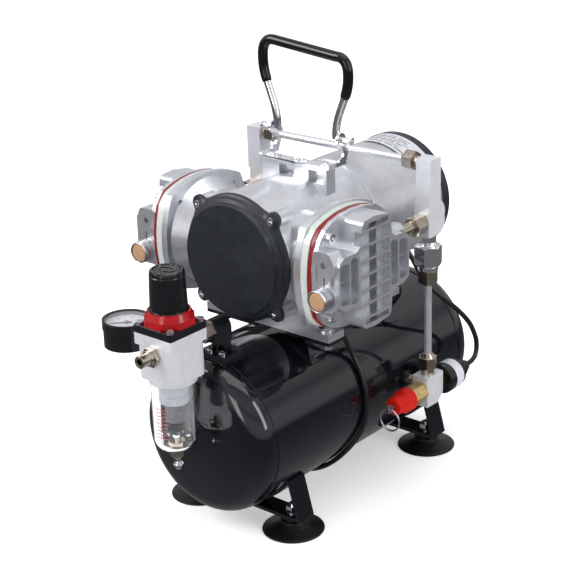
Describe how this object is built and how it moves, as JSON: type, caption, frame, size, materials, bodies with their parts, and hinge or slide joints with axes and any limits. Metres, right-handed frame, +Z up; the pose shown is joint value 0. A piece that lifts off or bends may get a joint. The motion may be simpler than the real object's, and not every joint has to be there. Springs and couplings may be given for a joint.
{
  "type": "airbrush compressor",
  "caption": "Twin-cylinder oil-free piston compressor with a folding handle, on a horizontal air tank with suction feet, a pressure regulator with gauge and water trap, and a relief valve.",
  "frame": {"origin": "on the floor at the centre of the four suction feet", "axes": "+X to the object's right as seen from its front, +Y along the tank away from the regulator, +Z up; the regulator end is the front, at -Y"},
  "size_m": [0.207, 0.3494, 0.3721],
  "materials": {
    "black_enamel": "high gloss black stoved enamel",
    "satin_black": "satin black powder coat",
    "cast_aluminium": "shot-blasted die casting, silver lacquered",
    "machined_aluminium": "machined satin",
    "off_white_plate": "satin off-white",
    "red_gasket": "semi-gloss red",
    "nickel_brass": "nickel-plated brass, polished",
    "bright_chrome": "bright plated",
    "bare_brass": "turned brass",
    "black_rubber": "matte rubber",
    "grip_rubber": "glossy dipped vinyl",
    "black_plastic": "semi-gloss moulding",
    "red_plastic": "glossy red moulding",
    "white_plastic": "smooth white moulding",
    "clear_plastic": "clear polycarbonate",
    "sintered_bronze": "porous sintered disc",
    "steel": "ground steel",
    "copper_winding": "laminations with enamelled windings",
    "cable_sheath": "black PVC sheath"
  },
  "bodies": {
    "base": {"tank_barrel": "black_enamel", "tank_head_front": "black_enamel", "tank_head_rear": "black_enamel", "leg_brackets": "black_enamel", "suction_cups": "black_rubber", "hex_fasteners": "bright_chrome", "crankcase": "cast_aluminium", "front_cover": "satin_black", "pan_screws": "bright_chrome", "valve_plates": "off_white_plate", "head_gaskets": "red_gasket", "head_left": "cast_aluminium", "head_right": "cast_aluminium", "head_bolts": "bright_chrome", "intake_filters": "sintered_bronze", "shaft_bearings": "steel", "motor_housing": "cast_aluminium", "stator": "copper_winding", "rear_cover": "satin_black", "air_block_left": "cast_aluminium", "air_block_right": "cast_aluminium", "cross_tube": "machined_aluminium", "line_fittings": "nickel_brass", "check_valve": "bright_chrome", "down_tube": "machined_aluminium", "manifold_block": "cast_aluminium", "relief_valve_body": "bare_brass", "relief_valve_cap": "red_plastic", "pressure_switch": "white_plastic", "switch_boot": "black_rubber", "outlet_bracket": "black_enamel", "regulator_body": "cast_aluminium", "regulator_bonnet": "black_plastic", "regulator_ring": "red_plastic", "regulator_nipples": "nickel_brass", "regulator_bowl": "clear_plastic", "bowl_filter": "white_plastic", "drain_nut": "nickel_brass", "gauge_case": "black_plastic", "gauge_lens": "clear_plastic", "handle_base": "bright_chrome", "switch_box": "black_plastic", "switch_lead": "cable_sheath", "motor_lead": "cable_sheath"},
    "tank_drain": {"drain_screw": "nickel_brass"},
    "shaft": {"crankshaft": "steel", "rotor": "steel", "fan": "white_plastic"},
    "left_piston": {"piston_left": "machined_aluminium"},
    "right_piston": {"piston_right": "machined_aluminium"},
    "handle": {"handle_bail": "bright_chrome", "handle_grip": "grip_rubber"},
    "pressure_screw": {"adjusting_screw": "bare_brass"},
    "knob": {"regulator_knob": "black_plastic"},
    "needle": {"gauge_needle": "black_plastic"},
    "bowl_drain": {"drain_pin": "bright_chrome"},
    "relief": {"relief_stem": "steel"},
    "ring": {"pull_ring": "steel"},
    "mains_rocker": {"rocker": "red_plastic"}
  },
  "joints": [
    {"name": "handle_fold", "type": "hinge", "parent": "base", "child": "handle", "pos_m": [0, -0.002, 0.297], "axis": [1, 0, 0], "range_deg": [-100, 95]},
    {"name": "shaft_turn", "type": "hinge", "parent": "base", "child": "shaft", "pos_m": [0, 0, 0.2175], "axis": [0, 1, 0], "continuous": true},
    {"name": "left_stroke", "type": "slide", "parent": "base", "child": "left_piston", "axis": [1, 0, 0], "range_m": [-0.005, 0.005]},
    {"name": "right_stroke", "type": "slide", "parent": "base", "child": "right_piston", "axis": [1, 0, 0], "range_m": [-0.005, 0.005]},
    {"name": "knob_turn", "type": "hinge", "parent": "base", "child": "pressure_screw", "pos_m": [0.005, -0.17, 0.19], "axis": [0, 0, 1], "range_deg": [0, 720]},
    {"name": "knob_lift", "type": "slide", "parent": "pressure_screw", "child": "knob", "axis": [0, 0, 1], "range_m": [0, 0.003]},
    {"name": "gauge_sweep", "type": "hinge", "parent": "base", "child": "needle", "pos_m": [-0.041, -0.17, 0.18], "axis": [0, 0, -1], "range_deg": [0, 270], "stiffness_Nm_per_rad": 0.0002},
    {"name": "bowl_drain_push", "type": "slide", "parent": "base", "child": "bowl_drain", "axis": [0, 0, 1], "range_m": [0, 0.0025], "stiffness_N_per_m": 300, "springref_m": -0.002},
    {"name": "tank_drain_turn", "type": "hinge", "parent": "base", "child": "tank_drain", "pos_m": [0, 0, 0.01], "axis": [0, 0, 1], "range_deg": [0, 360]},
    {"name": "relief_pull", "type": "slide", "parent": "base", "child": "relief", "axis": [0, -1, 0], "range_m": [0, 0.003], "stiffness_N_per_m": 2000, "springref_m": -0.002},
    {"name": "ring_swing", "type": "hinge", "parent": "relief", "child": "ring", "pos_m": [0.085, -0.009, 0.0825], "axis": [1, 0, 0], "range_deg": [-90, 50]},
    {"name": "rocker_tilt", "type": "hinge", "parent": "base", "child": "mains_rocker", "pos_m": [-0.0845, 0, 0.06725], "axis": [0, 1, 0], "range_deg": [-16, 0]}
  ],
  "couplings": [
    {"joint": "right_stroke", "follows": "left_stroke", "ratio": 1}
  ]
}
